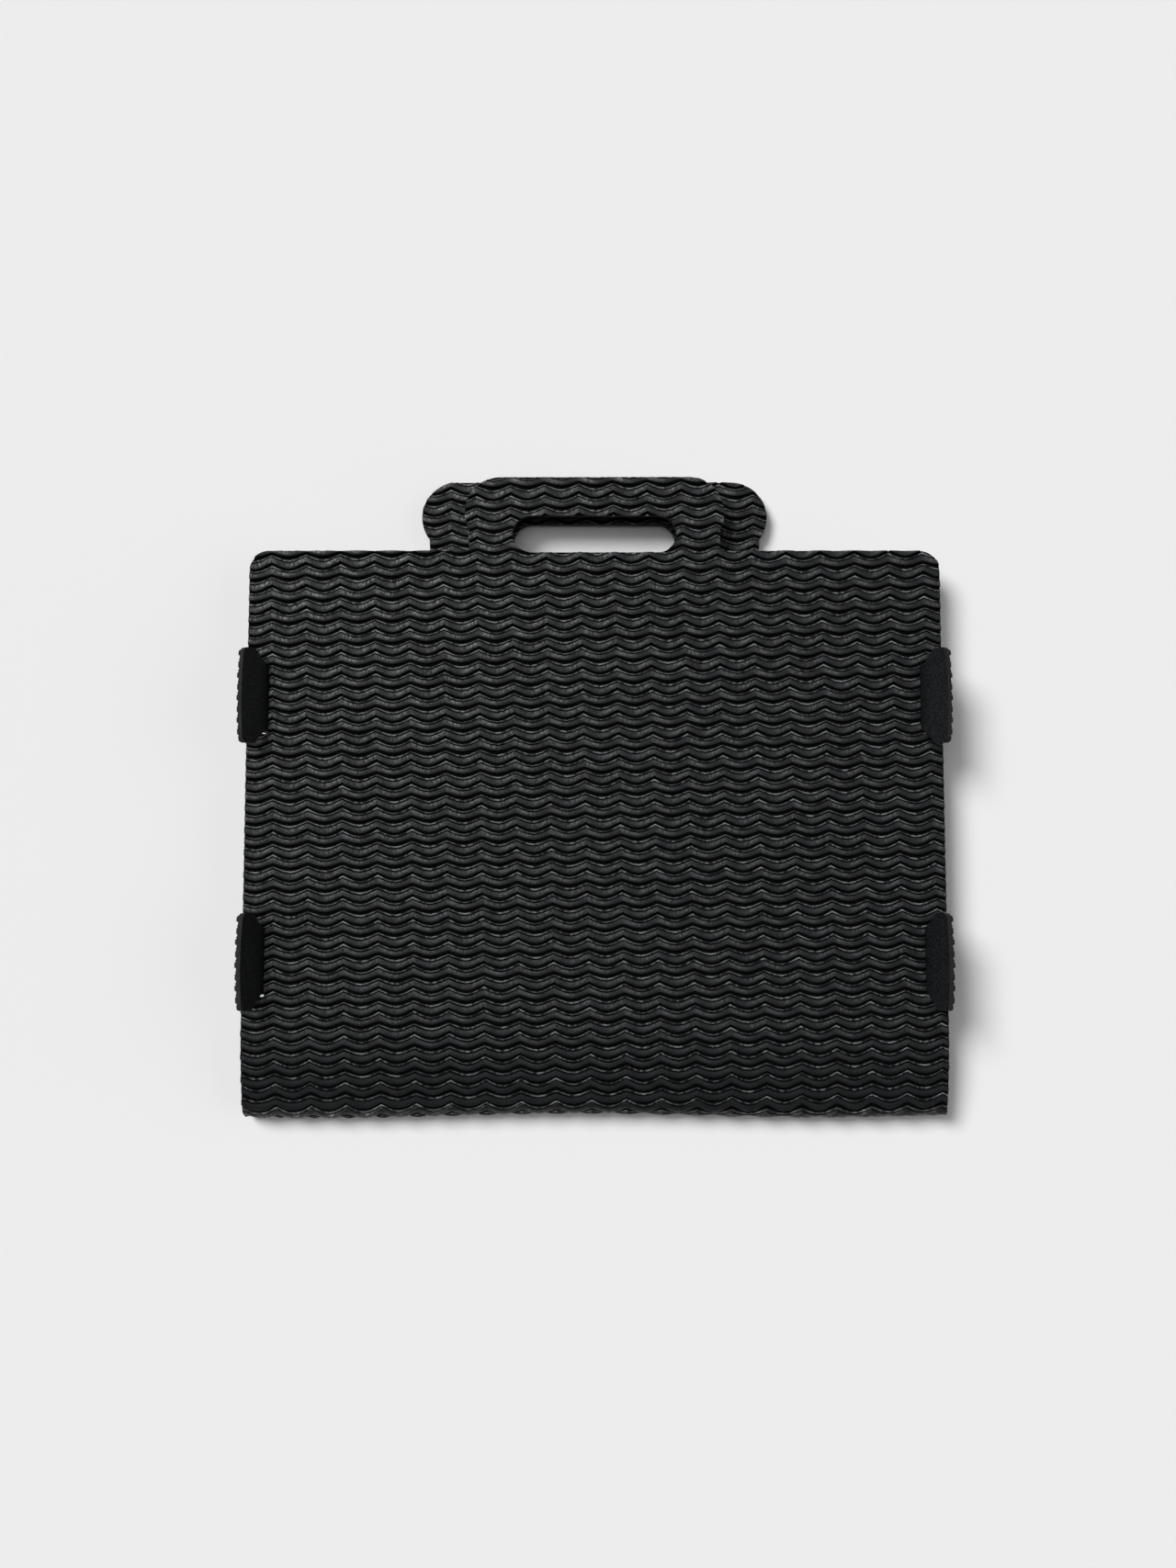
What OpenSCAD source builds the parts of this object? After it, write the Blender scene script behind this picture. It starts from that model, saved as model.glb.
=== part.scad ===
// Slim carry case folded from one sheet of wave-ribbed foam rubber.
// It lies flat, as in use on a table: X across, Y from the bottom fold to the handles, Z up.
// The origin is under the middle of the case, on the surface that it lies on.

/* [Sheet] */
// Foam under the ribs
base_t = 2.8; // [2:0.1:4]
// Height of a rib above the foam
rib_h = 1.6; // [0.8:0.1:2.4]
// Distance from one rib to the next
rib_pitch = 6; // [5:0.25:9]
// Width of the groove between two ribs
groove_w = 1.4; // [0.8:0.1:2.4]
// Length of one wave of a rib
wave_len = 19; // [14:0.5:26]
// Rise of a wave from its trough to its peak
wave_rise = 3.3; // [1:0.1:5]
// Sideways place of a peak from the middle of the sheet
wave_shift = -6; // [-10:0.5:10]

/* [Case] */
// Width of the front panel and the fold
case_w = 380; // [340:1:440]
// Length from the outside of the fold to the top edge of the panels
body_h = 309; // [270:1:350]
// Outer radius of the bottom fold
fold_r = 12; // [10:0.5:18]
// Radius of the panels' top corners
corner_r = 11; // [4:0.5:20]

/* [Handles] */
// Height of the front handle above the panel
front_handle_h = 41.6; // [36:0.1:50]
// Width of the front handle across its round shoulders
front_handle_w = 143.5; // [125:0.5:170]
// Width of the front handle at its neck
front_neck_w = 138.5; // [120:0.5:165]
// Height of the rear handle above the panel
rear_handle_h = 42.9; // [36:0.1:50]
// Width of the rear handle across its round shoulders
rear_handle_w = 194; // [175:1:230]
// Width of the rear handle at its neck
rear_neck_w = 185; // [170:0.5:222]
// Radius of the handles' shoulders
shoulder_r = 20; // [12:0.5:20.5]
// Width of the hand hole
hole_w = 90.5; // [80:0.5:105]
// Height of the hand hole
hole_h = 20.6; // [18:0.1:26]
// Drop of the rear hand hole below the front one
rear_hole_drop = 0.8; // [0:0.1:4]
// Length of the rear handle that is bonded inside the rear panel
root_l = 34; // [20:1:60]

/* [Straps] */
// Distance of a strap's smooth face from the side edge of the front panel
strap_inset = 11.6; // [10:0.1:24]
// Width of a strap where it passes its slit
neck_w = 36; // [28:0.5:44]
// Width of the tab at a strap's end
tab_w = 51.5; // [46:0.5:60]
// Length of a tab
tab_l = 17.5; // [14:0.5:22]
// Length of the tab's slanted corners
tab_chamfer = 7.5; // [4:0.5:10]
// Angle at which a tab stands off the panel
tab_angle = 58; // [40:1:70]
// Inside radius where a strap turns up from the rear panel
strap_bend_r = 2; // [1:0.1:4]
// Place of the upper straps above the middle of the case
upper_y = 51.5; // [30:0.5:80]
// Place of the lower straps above the middle of the case
lower_y = -91; // [-105:0.5:-70]
// Spare length of a slit beyond its strap
slit_spare = 1.8; // [1:0.1:4]
// Full-width sheet left between the fold and the lower straps' notches
notch_spare = 8; // [4:0.5:14]

/* [Fit] */
// Gap between pieces that move on each other
gap = 0.4; // [0.3:0.05:0.8]

/* [Hidden] */

charcoal = "#2b2e30";
inner_black = "#191a1b";
sheet_t = base_t + rib_h;
total_h = body_h + front_handle_h;
fold_y = -total_h / 2 + fold_r;
top_y = -total_h / 2 + body_h;
// The front panel lies level above the rear one, at the height that the fold gives it.
front_z = 2 * fold_r - sheet_t;
front_l = top_y - fold_y;
fold_in_r = fold_r - sheet_t;
handle_y = top_y + gap;
strap_x = case_w / 2 - strap_inset;
// The hand hole's lower edge is just under the panel's top edge.
hole_dip = 1.2;
// The rear panel is narrower than the front one from here up, and turns up into the straps.
rear_half_w = strap_x - strap_bend_r;
shoulder_y = lower_y - tab_w / 2 - notch_spare;
slit_w = sheet_t + 2 * gap;
slit_l = neck_w + 2 * slit_spare;
// A tab is mitred to its strap, with the hinge line on the smooth face.
tab_turn = 90 - tab_angle;
mitre_drop = sheet_t * tan(tab_turn / 2);
over_slit = 0.6;
hinge_z = 2 * fold_r + over_slit + mitre_drop;
cut = 1;

// One rib seen from above: a band between two zigzag edges.
module wave_rib(half_w) {
    steps = ceil(half_w / wave_len + 1) * 2;
    edge = [for (i = [-steps : steps])
        [wave_shift + i * wave_len / 2, (i % 2 == 0 ? 1 : -1) * wave_rise / 2]];
    back = [for (i = [len(edge) - 1 : -1 : 0]) edge[i] + [0, rib_pitch - groove_w]];
    polygon(concat(edge, back));
}

// The rib layer over a stretch of sheet, from one height to another.
module wave_ribs(half_w, from_y, to_y) {
    for (y = [from_y - rib_pitch : rib_pitch : to_y + rib_pitch])
        translate([0, y])
            wave_rib(half_w);
}

// A flat piece of sheet lying on its smooth face, cut to the outline that is its child.
module ribbed_sheet(half_w, from_y, to_y) {
    linear_extrude(base_t)
        children();
    translate([0, 0, base_t])
        linear_extrude(rib_h)
            intersection() {
                children();
                wave_ribs(half_w, from_y, to_y);
            }
}

// A rectangle standing on the X axis, with its two upper corners rounded.
module round_topped(half_w, h, r) {
    translate([-half_w, 0])
        square([2 * half_w, h - r]);
    translate([-half_w + r, 0])
        square([2 * (half_w - r), h]);
    for (side = [-1, 1])
        translate([side * (half_w - r), h - r])
            circle(r);
}

module hand_hole() {
    r = hole_h / 2;
    translate([-hole_w / 2 + r, -r])
        square([hole_w - 2 * r, hole_h]);
    for (side = [-1, 1])
        translate([side * (hole_w / 2 - r), 0])
            circle(r);
}

// A handle with round shoulders over a narrower neck, standing on the X axis.
module handle_outline(w, neck, h) {
    translate([-neck / 2, 0])
        square([neck, h - shoulder_r]);
    translate([-w / 2 + shoulder_r, 0])
        square([w - 2 * shoulder_r, h]);
    for (side = [-1, 1])
        translate([side * (w / 2 - shoulder_r), h - shoulder_r])
            circle(shoulder_r);
}

module front_outline() {
    difference() {
        round_topped(case_w / 2, front_l, corner_r);
        for (side = [-1, 1])
            for (y = [upper_y, lower_y])
                translate([side * (strap_x + sheet_t / 2) - slit_w / 2, y - fold_y - slit_l / 2])
                    square([slit_w, slit_l]);
        translate([0, front_l + handle_y - top_y + hole_h / 2 - hole_dip])
            hand_hole();
    }
}

module front_panel() {
    color(charcoal)
        translate([0, fold_y, front_z])
            difference() {
                ribbed_sheet(case_w / 2, 0, front_l)
                    front_outline();
                translate([-case_w, -cut, -cut])
                    cube([2 * case_w, cut + gap, sheet_t + 2 * cut]);
            }
}

module front_handle() {
    color(charcoal)
        translate([0, handle_y, front_z])
            ribbed_sheet(front_handle_w / 2, 0, front_handle_h)
                difference() {
                    handle_outline(front_handle_w, front_neck_w, top_y + front_handle_h - handle_y);
                    translate([0, hole_h / 2 - hole_dip])
                        hand_hole();
                }
}

// The bend is drawn as a section and stretched over the width. Its ribs run straight across.
module bottom_fold() {
    sweep = 180;
    ribs = floor(PI * fold_r / rib_pitch);
    step = sweep / ribs;
    groove = groove_w / fold_r * 180 / PI;
    from = -90;
    function at(angle, r) = [r * cos(angle), r * sin(angle)];
    crest = step - groove;
    outer = [for (i = [0 : ribs - 1]) each [
        at(from - i * step, fold_r),
        at(from - i * step - crest / 2, fold_r),
        at(from - i * step - crest, fold_r),
        at(from - i * step - crest, fold_r - rib_h),
        at(from - (i + 1) * step, fold_r - rib_h)]];
    inner = [for (i = [0 : 2 * ribs]) at(from - sweep + i * step / 2, fold_in_r)];
    color(charcoal)
        translate([-case_w / 2, fold_y, fold_r])
            rotate([90, 0, 90])
                linear_extrude(case_w)
                    polygon(concat(outer, inner));
}

module rear_outline() {
    difference() {
        union() {
            translate([-case_w / 2, fold_y])
                square([case_w, shoulder_y - fold_y]);
            translate([0, fold_y])
                round_topped(rear_half_w, top_y - fold_y, corner_r);
        }
        rear_hole();
    }
}

module rear_hole() {
    translate([0, handle_y + hole_h / 2 - hole_dip - rear_hole_drop])
        hand_hole();
}

// The sheet turned over, with its ribs on the surface below.
module rear_panel() {
    color(charcoal)
        translate([0, 0, sheet_t])
            mirror([0, 0, 1])
                ribbed_sheet(case_w / 2, fold_y, top_y)
                    rear_outline();
}

module rear_handle_root() {
    color(charcoal)
        translate([0, 0, sheet_t])
            ribbed_sheet(rear_neck_w / 2, top_y - root_l, top_y)
                difference() {
                    translate([-rear_neck_w / 2, top_y - root_l])
                        square([rear_neck_w, root_l]);
                    rear_hole();
                }
}

module rear_handle() {
    color(charcoal)
        translate([0, 0, sheet_t])
            ribbed_sheet(rear_handle_w / 2, top_y, top_y + rear_handle_h)
                difference() {
                    translate([0, top_y + gap])
                        handle_outline(rear_handle_w, rear_neck_w, rear_handle_h - gap);
                    rear_hole();
                }
}

// Strap ribs run along its length, so its section across shows them as teeth under the smooth face.
module strap_section(w) {
    ribs = floor((w + groove_w) / rib_pitch);
    translate([-w / 2, 0])
        square([w, base_t]);
    for (i = [0 : ribs - 1])
        translate([(i - ribs / 2) * rib_pitch + groove_w / 2, 0])
            square([rib_pitch - groove_w, sheet_t]);
}

// A right-hand strap: it turns up from the rear panel's edge and passes through the front panel's slit.
module strap(y) {
    bend_z = sheet_t + strap_bend_r;
    color(inner_black) {
        translate([rear_half_w, y, bend_z])
            rotate([90, 0, 0])
                translate([0, 0, -neck_w / 2])
                    intersection() {
                        rotate_extrude(angle = 360)
                            translate([strap_bend_r, 0])
                                rotate(90)
                                    mirror([0, 1])
                                        translate([neck_w / 2, 0])
                                            strap_section(neck_w);
                        translate([0, -bend_z, 0])
                            cube([bend_z, bend_z, neck_w]);
                    }
        difference() {
            translate([strap_x, y, bend_z])
                rotate([0, 0, -90])
                    mirror([1, 0, 0])
                        linear_extrude(hinge_z - bend_z)
                            strap_section(neck_w);
            translate([strap_x, y, hinge_z])
                rotate([0, tab_turn / 2, 0])
                    translate([-sheet_t, -neck_w, -gap / 2])
                        cube([3 * sheet_t, 2 * neck_w, 3 * sheet_t]);
        }
    }
}

// A right-hand tab, drawn flat with its smooth face up and then stood off the panel.
module tab(y) {
    outline = [[0, -neck_w / 2], [over_slit, -neck_w / 2],
        [over_slit + tab_chamfer, -tab_w / 2], [tab_l, -tab_w / 2],
        [tab_l, tab_w / 2], [over_slit + tab_chamfer, tab_w / 2],
        [over_slit, neck_w / 2], [0, neck_w / 2]];
    color(inner_black)
        translate([strap_x, y, hinge_z])
            rotate([0, -tab_angle, 0])
                difference() {
                    intersection() {
                        translate([tab_l + cut, 0, 0])
                            rotate([0, -90, 0])
                                rotate([0, 0, 90])
                                    linear_extrude(tab_l + 2 * cut)
                                        strap_section(tab_w);
                        translate([0, 0, -sheet_t - cut])
                            linear_extrude(sheet_t + 2 * cut)
                                polygon(outline);
                    }
                    rotate([0, -tab_turn / 2, 0])
                        translate([-3 * sheet_t + gap / 2, -tab_w, -3 * sheet_t])
                            cube([3 * sheet_t, 2 * tab_w, 6 * sheet_t]);
                }
}

module on_left() {
    mirror([1, 0, 0])
        children();
}

rear_panel();
bottom_fold();
front_panel();
front_handle();
rear_handle_root();
rear_handle();
on_left() strap(upper_y);  // left_upper_strap
on_left() strap(lower_y);  // left_lower_strap
strap(upper_y);  // right_upper_strap
strap(lower_y);  // right_lower_strap
on_left() tab(upper_y);  // left_upper_tab
on_left() tab(lower_y);  // left_lower_tab
tab(upper_y);  // right_upper_tab
tab(lower_y);  // right_lower_tab
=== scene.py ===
import math
import bpy
import numpy as np
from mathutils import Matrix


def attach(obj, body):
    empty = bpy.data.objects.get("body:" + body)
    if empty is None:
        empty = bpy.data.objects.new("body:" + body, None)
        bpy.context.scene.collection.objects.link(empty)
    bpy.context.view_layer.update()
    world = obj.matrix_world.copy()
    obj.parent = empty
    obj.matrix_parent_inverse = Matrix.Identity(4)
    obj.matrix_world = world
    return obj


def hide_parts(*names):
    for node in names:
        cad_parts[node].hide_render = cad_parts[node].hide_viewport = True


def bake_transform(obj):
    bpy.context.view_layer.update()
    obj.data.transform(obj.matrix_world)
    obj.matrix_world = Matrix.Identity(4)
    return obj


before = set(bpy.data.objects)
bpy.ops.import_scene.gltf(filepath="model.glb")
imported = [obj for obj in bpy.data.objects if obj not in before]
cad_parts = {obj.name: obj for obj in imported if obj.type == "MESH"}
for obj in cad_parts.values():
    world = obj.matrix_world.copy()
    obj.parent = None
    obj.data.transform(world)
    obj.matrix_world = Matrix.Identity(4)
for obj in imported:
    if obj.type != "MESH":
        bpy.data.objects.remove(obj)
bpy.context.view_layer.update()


# Rear panel: the half of the die-cut sheet that the case lies on, ribs down on the table.
# Black foam rubber soling sheet, moulded with wavy ribs on one face and a fine grain on the other,
# then cut with a die, so every edge shows the ribs in section.
mm = 0.001
SHEET = 4.4 * mm
RIB_DEPTH = 1.6 * mm
RIB_PITCH = 6.12 * mm
WAVE_LENGTH = 18.87 * mm
WAVE_PEAK = -1.6 * mm
DEEP_WAVE = 3.5 * mm
SHALLOW_WAVE = 2.7 * mm
RIB_SHIFT = -4.2 * mm
# The sheet lay a little askew under the die, so the ribs are turned against the outline.
RIB_SKEW = math.radians(1.22)
SPARE = 8 * mm
# One rib in section, from one groove up to the next: the share of the way, the depth there in mm below the rib's top,
# how much painted shade lies there in the groove, and how much painted highlight lies on the lip. The rib stands up
# steeply, falls into a wide valley, and ends in a low lip at the next groove.
RIB_PROFILE = [
    (0.085, 1.6, 1, 0),
    (0.115, 0.5, 0.8, 0),
    (0.16, 0.1, 0.25, 0),
    (0.38, 0, 0, 0),
    (0.595, 0.1, 0.2, 0),
    (0.63, 1.2, 1, 0),
    (0.71, 1.3, 1, 0),
    (0.75, 0.8, 0, 1),
    (0.835, 0.75, 0, 1),
    (0.87, 1.6, 1, 0),
]
# Above every other groove the whole section lies this share higher.
RIB_STAGGER = 0.03
# One rib is high at its peaks and low in its troughs, the next the other way round.
RIB_SWELL = 1.2 * mm
# The mesh has points at these shares of each wave, closer together at the sharp peaks.
WAVE_STEPS = np.array([0, 0.07, 0.18, 0.32, 0.5, 0.68, 0.82, 0.93])

CASE_HALF = 190 * mm
TOP_Y = 133.7 * mm
FOLD_OUTSIDE_Y = -175.3 * mm
FOLD_R = 9 * mm
FOLD_Y = FOLD_OUTSIDE_Y + FOLD_R
# Where the sheet bends, it keeps its length this far above its smooth face.
NEUTRAL = 1.8 * mm
FOLD_NEUTRAL_R = FOLD_R - SHEET + NEUTRAL
FRONT_SLOPE = math.radians(16)
# The sheet is measured along its length from where the front panel leaves the fold.
REAR_SEAM = -(math.pi - FRONT_SLOPE) * FOLD_NEUTRAL_R
REAR_HALF = 176.4 * mm
REAR_SHOULDER_Y = -124.75 * mm
CORNER_R = 11 * mm
HOLE_W = 90.5 * mm
HOLE_H = 20.6 * mm
REAR_HOLE_Y = 142.4 * mm


def groove_line(k, x):
    """Place along the sheet of groove k: every other groove waves deeply, with a sharper peak."""
    turn = math.pi * (x - WAVE_PEAK) / WAVE_LENGTH
    arch = 0.5 - np.abs(np.sin(turn))
    swell = 0.5 * np.cos(2 * turn)
    deep = DEEP_WAVE * (0.9 * arch + 0.1 * swell)
    shallow = SHALLOW_WAVE * (0.6 * arch + 0.4 * swell)
    return k * RIB_PITCH + RIB_SHIFT + np.where(k % 2 == 1, deep, shallow)


def skewed(x, along, turn):
    """Places on the flat sheet, turned about its origin."""
    return x * math.cos(turn) - along * math.sin(turn), x * math.sin(turn) + along * math.cos(turn)


def turn_out():
    """Turns the faces of the active sheet over."""
    bpy.ops.object.mode_set(mode="EDIT")
    bpy.ops.mesh.select_all(action="SELECT")
    bpy.ops.mesh.flip_normals()
    bpy.ops.object.mode_set(mode="OBJECT")


def ribbed_stock(name, left, right, low, high, bends_along_ribs=False):
    """A flat strip of moulded sheet, ribs up and running along X, with its smooth face at -SHEET."""
    left, right, low, high = left - SPARE, right + SPARE, low - SPARE, high + SPARE
    closest = 0.4 * mm
    waves = np.arange(math.floor((left - WAVE_PEAK) / WAVE_LENGTH), math.ceil((right - WAVE_PEAK) / WAVE_LENGTH))
    places = (WAVE_PEAK + WAVE_LENGTH * (waves[:, None] + WAVE_STEPS)).ravel()
    places = places[(places > left + closest) & (places < right - closest)]
    across = np.concatenate(([left], places, [right]))
    first, last = math.floor(low / RIB_PITCH) - 1, math.ceil(high / RIB_PITCH) + 2
    rows = []
    for k in range(first, last):
        here, above = groove_line(k, across), groove_line(k + 1, across)
        odd = k % 2
        sink = RIB_SWELL * (0.5 - (odd - 0.5) * np.cos(2 * math.pi * (across - WAVE_PEAK) / WAVE_LENGTH))
        for share, depth, groove_shade, lip_highlight in RIB_PROFILE:
            level = -depth * mm - sink * (1 - depth * mm / RIB_DEPTH)
            along = here + (share + RIB_STAGGER * (1 - odd)) * (above - here)
            rows.append(np.stack([across, along, level], 1))
    rows.append(np.stack([across, groove_line(last, across), np.full_like(across, -RIB_DEPTH)], 1))
    points = np.array(rows)
    tall, wide = points.shape[:2]
    points[..., 0], points[..., 1] = skewed(points[..., 0], points[..., 1], RIB_SKEW)
    bpy.ops.object.select_all(action="DESELECT")
    bpy.ops.mesh.primitive_grid_add(x_subdivisions=wide - 1, y_subdivisions=tall - 1, size=1)
    sheet = bpy.context.object
    sheet.name = name
    sheet.data.vertices.foreach_set("co", points.ravel())
    # Two opposite walls go down to the smooth face, which is bridged between them, and the ends are filled.
    bpy.ops.object.mode_set(mode="EDIT")
    bpy.ops.mesh.select_mode(type="VERT")
    bpy.ops.mesh.select_all(action="DESELECT")
    bpy.ops.object.mode_set(mode="OBJECT")
    row, column = np.divmod(np.arange(tall * wide), wide)
    walls = (row == 0) | (row == tall - 1) if bends_along_ribs else (column == 0) | (column == wide - 1)
    sheet.data.vertices.foreach_set("select", walls)
    bpy.ops.object.mode_set(mode="EDIT")
    bpy.ops.mesh.select_mode(type="EDGE")
    bpy.ops.mesh.extrude_edges_move(TRANSFORM_OT_translate={"value": (0, 0, -SHEET)})
    bpy.ops.object.mode_set(mode="OBJECT")
    for v in sheet.data.vertices[tall * wide:]:
        v.co.z = -SHEET
    bpy.ops.object.mode_set(mode="EDIT")
    bpy.ops.mesh.bridge_edge_loops(number_cuts=8, interpolation="LINEAR")
    bpy.ops.mesh.select_all(action="SELECT")
    bpy.ops.mesh.fill_holes(sides=0)
    bpy.ops.mesh.normals_make_consistent(inside=False)
    bpy.ops.object.mode_set(mode="OBJECT")
    if sheet.data.polygons[0].normal.z < 0:
        turn_out()
    return sheet


def block(low, high, corners=(), radius=0, segments=12):
    """A cutting block through the sheet between two corners, with the listed upright edges rounded."""
    deep = 3 * SHEET
    same_place = 0.1 * mm
    bpy.ops.object.select_all(action="DESELECT")
    bpy.ops.mesh.primitive_cube_add(size=1, location=((low[0] + high[0]) / 2, (low[1] + high[1]) / 2, 0),
                                    scale=(high[0] - low[0], high[1] - low[1], 2 * deep))
    bpy.ops.object.transform_apply(location=True, rotation=True, scale=True)
    tool = bpy.context.object
    if corners:
        bpy.ops.object.mode_set(mode="EDIT")
        bpy.ops.mesh.select_mode(type="EDGE")
        bpy.ops.mesh.select_all(action="DESELECT")
        bpy.ops.object.mode_set(mode="OBJECT")
        for edge in tool.data.edges:
            a, b = (tool.data.vertices[i].co for i in edge.vertices)
            upright = abs(a.z - b.z) > deep
            near = any(math.hypot(a.x - x, a.y - y) < same_place for x, y in corners)
            edge.select = upright and near
        bpy.ops.object.mode_set(mode="EDIT")
        bpy.ops.mesh.bevel(offset=radius, segments=segments, affect="EDGES")
        bpy.ops.object.mode_set(mode="OBJECT")
    return tool


def die(sheet, tool, operation):
    """Presses a cutting tool through the sheet, and takes the tool away."""
    press = sheet.modifiers.new("die", "BOOLEAN")
    press.operation = operation
    press.solver = "MANIFOLD"
    press.object = tool
    bpy.ops.object.select_all(action="DESELECT")
    sheet.select_set(True)
    bpy.context.view_layer.objects.active = sheet
    bpy.ops.object.modifier_apply(modifier=press.name)
    bpy.data.objects.remove(tool)


def hand_hole(y):
    """A die for a slot with round ends: their radius stays just under half the height, so that no edges meet."""
    low, high = (-HOLE_W / 2, y - HOLE_H / 2), (HOLE_W / 2, y + HOLE_H / 2)
    corners = [(x, yy) for x in (low[0], high[0]) for yy in (low[1], high[1])]
    return block(low, high, corners, 0.4995 * HOLE_H)


def rgb(code):
    """An sRGB hex colour as linear RGBA."""
    parts = [int(code[i:i + 2], 16) / 255 for i in (1, 3, 5)]
    return [c / 12.92 if c <= 0.04045 else ((c + 0.055) / 1.055) ** 2.4 for c in parts] + [1]


def add(tree, kind, links, **settings):
    """Adds a node, with its settings, and its inputs linked or set."""
    made = tree.nodes.new(kind)
    for name, value in settings.items():
        setattr(made, name, value)
    for socket, source in links.items():
        if isinstance(source, bpy.types.NodeSocket):
            tree.links.new(source, made.inputs[socket])
        else:
            made.inputs[socket].default_value = source
    return made


# Moulded foam rubber: charcoal rib faces, mottled by burst cells that the mould drew out across the ribs, with
# painted shade making the grooves nearly black, and a painted highlight in light grey dashes along the low lip
# between two ribs.
# The cells are about a millimetre wide, and where they burst the face is rougher and darker.
ribbed_rubber = bpy.data.materials.new("moulded_foam_rubber_ribs")
ribbed_rubber.use_nodes = True
tree = ribbed_rubber.node_tree
shader = tree.nodes["Principled BSDF"]
shader.inputs["Specular IOR Level"].default_value = 0.44
place = add(tree, "ShaderNodeTexCoord", {})
drawn = add(tree, "ShaderNodeMapping", {"Vector": place.outputs["Object"],
                                        "Scale": (1 / (1.3 * mm), 1 / (2.4 * mm), 1 / (1.3 * mm))})
cells = add(tree, "ShaderNodeTexNoise", {"Vector": drawn.outputs["Vector"], "Scale": 1.0,
                                         "Detail": 4.0, "Roughness": 0.75})
speckle = add(tree, "ShaderNodeValToRGB", {"Fac": cells.outputs["Fac"]})
speckle.color_ramp.elements[0].position = 0.45
speckle.color_ramp.elements[0].color = rgb("#030304")
speckle.color_ramp.elements[1].position = 0.64
speckle.color_ramp.elements[1].color = rgb("#1e2428")
# Painted shade: the grooves are darkened to near black in the colour.
groove = add(tree, "ShaderNodeAttribute", {}, attribute_name="groove")
groove_shaded_colour = add(tree, "ShaderNodeMix", {"Factor": groove.outputs["Fac"], "A": speckle.outputs["Color"],
                                   "B": rgb("#020202")}, data_type="RGBA")
dashes = add(tree, "ShaderNodeTexNoise", {"Vector": place.outputs["Object"], "Scale": 1 / (2.4 * mm), "Detail": 1.0})
broken = add(tree, "ShaderNodeMapRange", {"Value": dashes.outputs["Fac"], "From Min": 0.4, "From Max": 0.6})
# Painted highlight: a light grey in broken dashes along the lips.
lip = add(tree, "ShaderNodeAttribute", {}, attribute_name="lip")
lip_glint = add(tree, "ShaderNodeMath", {0: lip.outputs["Fac"], 1: broken.outputs["Result"]}, operation="MULTIPLY")
highlighted_colour = add(tree, "ShaderNodeMix", {"Factor": lip_glint.outputs["Value"], "A": groove_shaded_colour.outputs["Result"],
                                   "B": rgb("#747777")}, data_type="RGBA")
tree.links.new(highlighted_colour.outputs["Result"], shader.inputs["Base Color"])
sheen = add(tree, "ShaderNodeMapRange", {"Value": cells.outputs["Fac"], "From Min": 0.4, "From Max": 0.6,
                                         "To Min": 0.74, "To Max": 0.34})
tree.links.new(sheen.outputs["Result"], shader.inputs["Roughness"])
grain = add(tree, "ShaderNodeBump", {"Height": cells.outputs["Fac"], "Strength": 0.32, "Distance": 0.3 * mm})
tree.links.new(grain.outputs["Normal"], shader.inputs["Normal"])

# The same rubber in the grooves, darkened to near black with almost no gloss: painted shade where the grooves lie in
# shadow.
groove_shade_rubber = bpy.data.materials.new("foam_rubber_painted_groove_shade")
groove_shade_rubber.use_nodes = True
shader = groove_shade_rubber.node_tree.nodes["Principled BSDF"]
shader.inputs["Base Color"].default_value = rgb("#060607")
shader.inputs["Roughness"].default_value = 1
shader.inputs["Specular IOR Level"].default_value = 0.03

# Skinned foam rubber: the smooth face, nearly black with a fine matte grain from the mould.
smooth_rubber = bpy.data.materials.new("skinned_foam_rubber")
smooth_rubber.use_nodes = True
tree = smooth_rubber.node_tree
shader = tree.nodes["Principled BSDF"]
shader.inputs["Roughness"].default_value = 0.6
shader.inputs["Specular IOR Level"].default_value = 0.24
place = add(tree, "ShaderNodeTexCoord", {})
cells = add(tree, "ShaderNodeTexNoise", {"Vector": place.outputs["Object"], "Scale": 1 / (1.1 * mm),
                                         "Detail": 3.0, "Roughness": 0.75})
tone = add(tree, "ShaderNodeValToRGB", {"Fac": cells.outputs["Fac"]})
tone.color_ramp.elements[0].position = 0.46
tone.color_ramp.elements[0].color = rgb("#040506")
tone.color_ramp.elements[1].position = 0.6
tone.color_ramp.elements[1].color = rgb("#1b1e21")
tree.links.new(tone.outputs["Color"], shader.inputs["Base Color"])
grain = add(tree, "ShaderNodeBump", {"Height": cells.outputs["Fac"], "Strength": 0.7, "Distance": 0.3 * mm})
tree.links.new(grain.outputs["Normal"], shader.inputs["Normal"])

# Cut foam rubber: open cells along a die-cut edge, lighter and rougher than the skin.
cut_rubber = bpy.data.materials.new("die_cut_foam_rubber")
cut_rubber.use_nodes = True
tree = cut_rubber.node_tree
shader = tree.nodes["Principled BSDF"]
shader.inputs["Roughness"].default_value = 0.85
shader.inputs["Specular IOR Level"].default_value = 0.2
place = add(tree, "ShaderNodeTexCoord", {})
cells = add(tree, "ShaderNodeTexNoise", {"Vector": place.outputs["Object"], "Scale": 1 / (0.8 * mm), "Detail": 2.0})
tone = add(tree, "ShaderNodeValToRGB", {"Fac": cells.outputs["Fac"]})
tone.color_ramp.elements[0].position = 0.3
tone.color_ramp.elements[0].color = rgb("#161717")
tone.color_ramp.elements[1].position = 0.7
tone.color_ramp.elements[1].color = rgb("#2e2e2a")
tree.links.new(tone.outputs["Color"], shader.inputs["Base Color"])
grain = add(tree, "ShaderNodeBump", {"Height": cells.outputs["Fac"], "Strength": 0.6, "Distance": 0.3 * mm})
tree.links.new(grain.outputs["Normal"], shader.inputs["Normal"])


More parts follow.
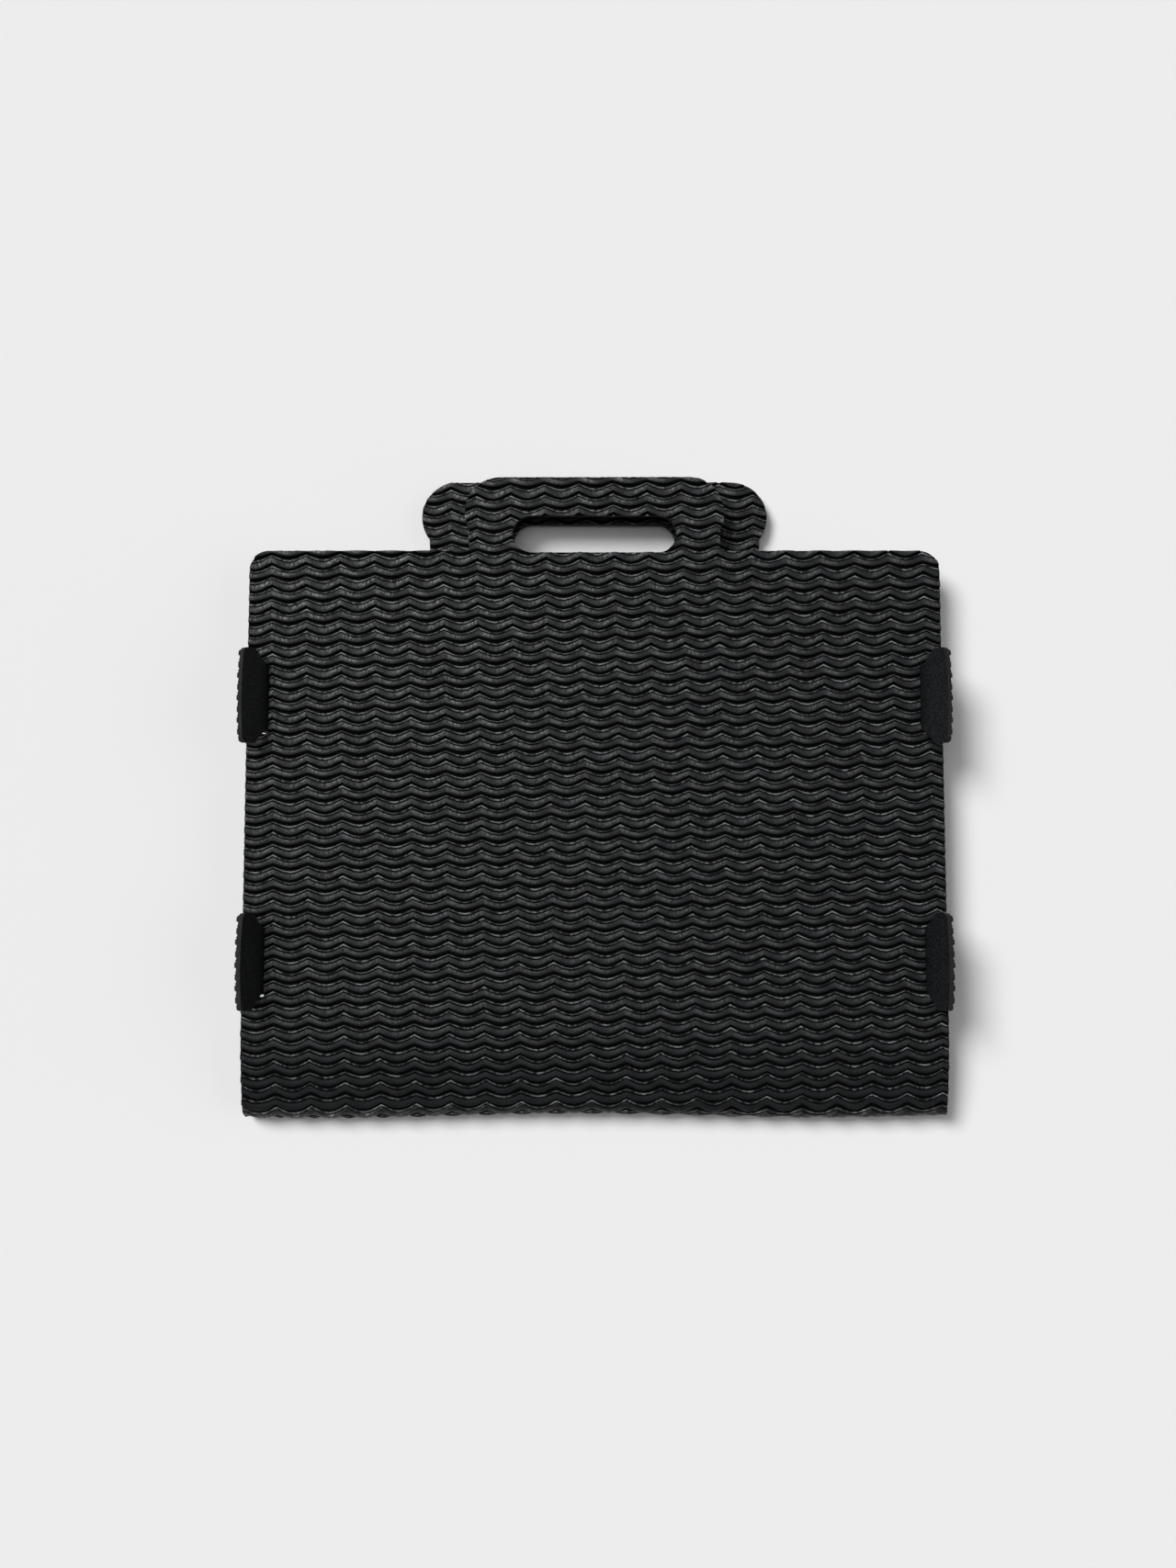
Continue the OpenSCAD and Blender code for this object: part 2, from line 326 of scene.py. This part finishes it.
def finish_faces(sheet):
    """While the sheet is flat: rubber by face, the painted shade of the grooves at each point, and the painted
    highlight on the lips.
    """
    mesh = sheet.data
    mesh.materials.clear()
    for rubber in (ribbed_rubber, smooth_rubber, cut_rubber, groove_shade_rubber):
        mesh.materials.append(rubber)
    normals = np.empty(len(mesh.polygons) * 3)
    mesh.polygons.foreach_get("normal", normals)
    up = normals.reshape(-1, 3)[:, 2]
    faces = np.where(up > 0.05, 0, np.where(up < -0.5, 1, 2))
    co = np.empty(len(mesh.vertices) * 3)
    mesh.vertices.foreach_get("co", co)
    x, along = skewed(*co.reshape(-1, 3)[:, :2].T, -RIB_SKEW)
    k = np.floor((along - RIB_SHIFT) / RIB_PITCH).astype(int)
    k = np.where(along < groove_line(k, x), k - 1, np.where(along >= groove_line(k + 1, x), k + 1, k))
    here, above = groove_line(k, x), groove_line(k + 1, x)
    share = (along - here) / (above - here) - RIB_STAGGER * (1 - k % 2)
    shares, _, groove_shade, lip_highlight = np.array(RIB_PROFILE).T
    # A painted highlight on the lip shows in the troughs of one rib and on the peaks of the next.
    peak = 0.5 + 0.5 * np.cos(2 * math.pi * (x - WAVE_PEAK) / WAVE_LENGTH)
    highlight_strength = 0.35 + 0.65 * np.where(k % 2 == 0, peak, 1 - peak) ** 2
    groove = np.interp(share, shares, groove_shade)
    corners = np.empty(len(mesh.loops), np.int32)
    mesh.loops.foreach_get("vertex_index", corners)
    starts = np.empty(len(mesh.polygons), np.int32)
    mesh.polygons.foreach_get("loop_start", starts)
    counts = np.diff(np.append(starts, len(corners)))
    # Faces deep in a groove get the rubber with painted shade.
    shaded_groove_faces = np.add.reduceat(groove[corners], starts) / counts > 0.75
    mesh.polygons.foreach_set("material_index", np.where((faces == 0) & shaded_groove_faces, 3, faces).astype(np.int32))
    for name, value in (("groove", groove), ("lip", highlight_strength * np.interp(share, shares, lip_highlight))):
        mesh.attributes.new(name, "FLOAT", "POINT").data.foreach_set("value", value.astype(np.float32))


def bend_sheet(sheet, shape, mirrors=False):
    """Moves the flat sheet to its place: shape gets X, the length along it and the height above its smooth face."""
    mesh = sheet.data
    co = np.empty(len(mesh.vertices) * 3)
    mesh.vertices.foreach_get("co", co)
    co = co.reshape(-1, 3)
    mesh.vertices.foreach_set("co", np.stack(shape(co[:, 0], co[:, 1], co[:, 2] + SHEET), 1).ravel())
    bpy.ops.object.select_all(action="DESELECT")
    sheet.select_set(True)
    bpy.context.view_layer.objects.active = sheet
    if mirrors:
        turn_out()
    bpy.ops.object.shade_smooth_by_angle(angle=math.radians(50))


def rear_length(y):
    """The rear panel's place y, measured along the sheet."""
    return REAR_SEAM - (y - FOLD_Y)


rear = ribbed_stock("rear_panel_sheet", -CASE_HALF, CASE_HALF, rear_length(TOP_Y), REAR_SEAM)
body = block((-REAR_HALF, rear_length(TOP_Y)), (REAR_HALF, REAR_SEAM),
             [(side * REAR_HALF, rear_length(TOP_Y)) for side in (-1, 1)], CORNER_R)
die(body, block((-CASE_HALF - mm, rear_length(REAR_SHOULDER_Y)), (CASE_HALF + mm, REAR_SEAM)), "UNION")
die(rear, body, "INTERSECT")
die(rear, hand_hole(rear_length(REAR_HOLE_Y)), "DIFFERENCE")
finish_faces(rear)
bend_sheet(rear, lambda x, along, up: (x, FOLD_Y + REAR_SEAM - along, SHEET - up))
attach(rear, "rear")
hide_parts("rear_panel")


# Front panel and bottom fold: the other half of the same sheet, rolled over at the bottom. The straps hold the
# panel level above the rear one, and below them it droops to a tighter fold. Its slits for the straps are cut
# close to its side edges.
FRONT_Z = 19.6 * mm
FRONT_Y = FOLD_Y - (FOLD_R - SHEET) * math.sin(FRONT_SLOPE)
FRONT_L = TOP_Y - FRONT_Y
DROOP = FRONT_Z - FOLD_R - (FOLD_R - SHEET) * math.cos(FRONT_SLOPE)
DROOP_L = 2 * DROOP / math.tan(FRONT_SLOPE)
# The fold bulges and draws in again along the bottom edge.
FOLD_SWELL = 1.3 * mm
BULGE_X = -150 * mm
BULGE_SPACING = 278 * mm
STRAP_X = 178.4 * mm
STRAP_Y = {"upper": 51.5 * mm, "lower": -91 * mm}
SLIT_W = 5.2 * mm
SLIT_L = 37.4 * mm
SLIT_BELOW_STRAP = 0.6 * mm
HOLE_ABOVE_TOP = 9.5 * mm
FRONT_HOLE = FRONT_L + HOLE_ABOVE_TOP


def front_shape(x, along, up):
    """The front's flat sheet: level, then drooping in a parabola, then rolled round the fold."""
    left = np.clip(1 - along / DROOP_L, 0, 1)
    tilt = np.arctan(math.tan(FRONT_SLOPE) * left)
    turn = FRONT_SLOPE + np.maximum(-along / FOLD_NEUTRAL_R, 0)
    round_fold = np.clip((turn - FRONT_SLOPE) / (math.pi - FRONT_SLOPE), 0, 1)
    swell = FOLD_SWELL * np.cos(2 * math.pi * (x - BULGE_X) / BULGE_SPACING) * np.sin(math.pi * round_fold)
    reach = FOLD_R - SHEET + up + swell
    y = np.where(along > 0, FRONT_Y + along - up * np.sin(tilt), FOLD_Y - reach * np.sin(turn))
    z = np.where(along > 0, FRONT_Z - DROOP * left ** 2 + up * np.cos(tilt), FOLD_R + reach * np.cos(turn))
    return x, y, z


front = ribbed_stock("front_sheet", -CASE_HALF, CASE_HALF, REAR_SEAM, FRONT_L)
panel = block((-CASE_HALF, REAR_SEAM), (CASE_HALF, FRONT_L),
              [(side * CASE_HALF, FRONT_L) for side in (-1, 1)], CORNER_R)
die(front, panel, "INTERSECT")
for side in (-1, 1):
    for y in STRAP_Y.values():
        middle = y - SLIT_BELOW_STRAP - FRONT_Y
        x = side * (STRAP_X + SHEET / 2)
        slit = block((x - SLIT_W / 2, middle - SLIT_L / 2), (x + SLIT_W / 2, middle + SLIT_L / 2))
        die(front, slit, "DIFFERENCE")
die(front, hand_hole(FRONT_HOLE), "DIFFERENCE")
finish_faces(front)
bend_sheet(front, front_shape)
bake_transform(front)
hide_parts("front_panel", "bottom_fold")


# Front handle: the end of the same sheet of rubber above the panel's top edge, cut by the same die with
# round shoulders and a hand hole.
FRONT_HANDLE_H = 41.6 * mm
FRONT_HANDLE_W = 143.5 * mm
FRONT_NECK_W = 138.5 * mm
SHOULDER_R = 20 * mm


def handle_die(width, neck, low, high):
    """A die for a handle: a head with round shoulders, just over two radii high, on a narrower neck."""
    head_low = high - 2.002 * SHOULDER_R
    head = block((-width / 2, head_low), (width / 2, high),
                 [(x, y) for x in (-width / 2, width / 2) for y in (head_low, high)], SHOULDER_R, 20)
    die(head, block((-neck / 2, low), (neck / 2, high - SHOULDER_R)), "UNION")
    return head


front_end = FRONT_L + FRONT_HANDLE_H
front_handle = ribbed_stock("front_handle_sheet", -FRONT_HANDLE_W / 2, FRONT_HANDLE_W / 2, FRONT_L, front_end)
die(front_handle, handle_die(FRONT_HANDLE_W, FRONT_NECK_W, FRONT_L, front_end), "INTERSECT")
die(front_handle, hand_hole(FRONT_HOLE), "DIFFERENCE")
finish_faces(front_handle)
bend_sheet(front_handle, front_shape)
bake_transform(front_handle)
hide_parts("front_handle")


# Rear handle: a second, wider piece of the same rubber sheet, cut by a die of its own, with its ribs to the front.
# Its root is bonded to the inside of the rear panel.
REAR_HANDLE_H = 42.9 * mm
REAR_HANDLE_W = 194 * mm
REAR_NECK_W = 185 * mm
ROOT_L = 34 * mm

root_end, rear_end = TOP_Y - ROOT_L, TOP_Y + REAR_HANDLE_H
rear_handle = ribbed_stock("rear_handle_sheet", -REAR_HANDLE_W / 2, REAR_HANDLE_W / 2, root_end, rear_end)
die(rear_handle, handle_die(REAR_HANDLE_W, REAR_NECK_W, root_end, rear_end), "INTERSECT")
die(rear_handle, hand_hole(REAR_HOLE_Y), "DIFFERENCE")
finish_faces(rear_handle)
bend_sheet(rear_handle, lambda x, along, up: (x, along, SHEET + up))
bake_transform(rear_handle)
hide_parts("rear_handle", "rear_handle_root")


# Straps: four ears of the rear panel's rubber sheet that turn up along its edges, pass through the front panel's
# slits and end in T-shaped tabs, smooth face up, which keep them from slipping back.
NECK_W = 36 * mm
NECK_OVERLAP = 4 * mm
TAB_W = 51.5 * mm
TAB_L = 16.8 * mm
TAB_CHAMFER = 7.6 * mm
# The tabs' joints turn by TAB_TURN. In the photo the tabs lean a little more or less than that, and their wings less.
TAB_TURN = math.radians(32)
TAB_LEAN = {"upper": math.radians(37), "lower": math.radians(29)}
WING_LEAN = math.radians(4)
TIP_R = 3 * mm
OVER_SLIT = 0.6 * mm
ROOT_R = 2 * mm
ROOT_ARC = math.pi / 2 * (ROOT_R + NEUTRAL)
TAB_INNER_R = 1.6 * mm
TAB_R = SHEET + TAB_INNER_R
TAB_ARC = TAB_TURN * (TAB_R - NEUTRAL)
TANGENT = TAB_R * math.tan(TAB_TURN / 2)
HINGE_Z = 25.86 * mm
RISER = HINGE_Z - TANGENT - SHEET - ROOT_R
HINGE_AT = ROOT_ARC + RISER + TAB_ARC / 2
TIP = HINGE_AT + TAB_L


def strap_shape(side, y0, lean):
    """A strap's flat sheet, turned up at its root, straight, turned out above the slit, and straight again."""
    def shape(along, across, up):
        tab_turn = lean - WING_LEAN * (2 * across / TAB_W) ** 2
        root = np.clip(along / ROOT_ARC, 0, 1) * math.pi / 2
        lift = np.clip(along - ROOT_ARC, 0, RISER)
        turn = np.clip((along - ROOT_ARC - RISER) / TAB_ARC, 0, 1) * tab_turn
        end = np.maximum(along - ROOT_ARC - RISER - TAB_ARC, 0)
        root_out, root_rise = ROOT_R * np.sin(root), ROOT_R * (1 - np.cos(root))
        out = REAR_HALF + np.minimum(along, 0) + root_out + TAB_R * (1 - np.cos(turn)) + end * np.sin(turn)
        rise = SHEET + root_rise + lift + TAB_R * np.sin(turn) + end * np.cos(turn)
        heading = root - turn
        return side * (out + up * np.sin(heading)), y0 + across, rise - up * np.cos(heading)
    return shape


for side, hand in ((-1, "left"), (1, "right")):
    for level, y in STRAP_Y.items():
        strap = ribbed_stock(f"{hand}_{level}_strap_sheet", -mm, TIP + mm, -TAB_W / 2, TAB_W / 2, True)
        start = HINGE_AT + OVER_SLIT
        wings = (-TAB_W / 2, TAB_W / 2)
        head = block((start, wings[0]), (TIP, wings[1]), [(start, w) for w in wings], TAB_CHAMFER, 1)
        tip = block((start - mm, wings[0]), (TIP, wings[1]), [(TIP, w) for w in wings], TIP_R, 6)
        die(head, tip, "INTERSECT")
        die(head, block((0, -NECK_W / 2), (start + NECK_OVERLAP, NECK_W / 2)), "UNION")
        die(strap, head, "INTERSECT")
        finish_faces(strap)
        bend_sheet(strap, strap_shape(side, y, TAB_LEAN[level]), side > 0)
        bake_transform(strap)
        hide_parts(f"{hand}_{level}_strap", f"{hand}_{level}_tab")


# Floor: a wide, plain, pale sheet of matte paper that the case lies on, just under the ribs.
FLOOR_SIDE = 12
FLOOR_Z = -0.2 * mm
bpy.ops.object.select_all(action="DESELECT")
bpy.ops.mesh.primitive_plane_add(size=FLOOR_SIDE, location=(0, 0, FLOOR_Z))
floor = bpy.context.object
floor.name = "floor"
paper = bpy.data.materials.new("matte_paper")
paper.use_nodes = True
shader = paper.node_tree.nodes["Principled BSDF"]
shader.inputs["Base Color"].default_value = rgb("#ebebeb")
shader.inputs["Roughness"].default_value = 1
shader.inputs["Specular IOR Level"].default_value = 0
floor.data.materials.append(paper)

# Light: a soft lamp on the left beyond the handles, weaker ones nearly straight above and low on the right,
# each with its strength and, in degrees, the angle that it fills and its tilt, and a dim even room.
LAMPS = ((2.9, 26, (-24.2, -32.5, 0)), (0.68, 40, (-6, -8, 0)), (0.48, 60, (0, 65, 0)))
for energy, angle, tilt in LAMPS:
    bpy.ops.object.light_add(type="SUN", rotation=[math.radians(a) for a in tilt])
    lamp = bpy.context.object
    lamp.data.energy = energy
    lamp.data.angle = math.radians(angle)
room = bpy.data.worlds.new("pale_room")
room.use_nodes = True
room.node_tree.nodes["Background"].inputs["Color"].default_value = (1, 1, 1, 1)
room.node_tree.nodes["Background"].inputs["Strength"].default_value = 0.03
bpy.context.scene.world = room
bpy.context.scene.view_settings.view_transform = "Standard"

# Camera: above the case and a few degrees towards the fold, as the panel's narrowing to the top shows.
CAMERA_TILT = math.radians(4.8)
CAMERA_AWAY = 0.79
LOOK_AT = (-3.6 * mm, 4.7 * mm, 22 * mm)
bpy.ops.object.camera_add(location=(LOOK_AT[0], LOOK_AT[1] - CAMERA_AWAY * math.sin(CAMERA_TILT),
                                    LOOK_AT[2] + CAMERA_AWAY * math.cos(CAMERA_TILT)),
                          rotation=(CAMERA_TILT, 0, 0))
camera = bpy.context.object
camera.data.lens = 33.3
camera.data.sensor_width = 36
bpy.context.scene.camera = camera
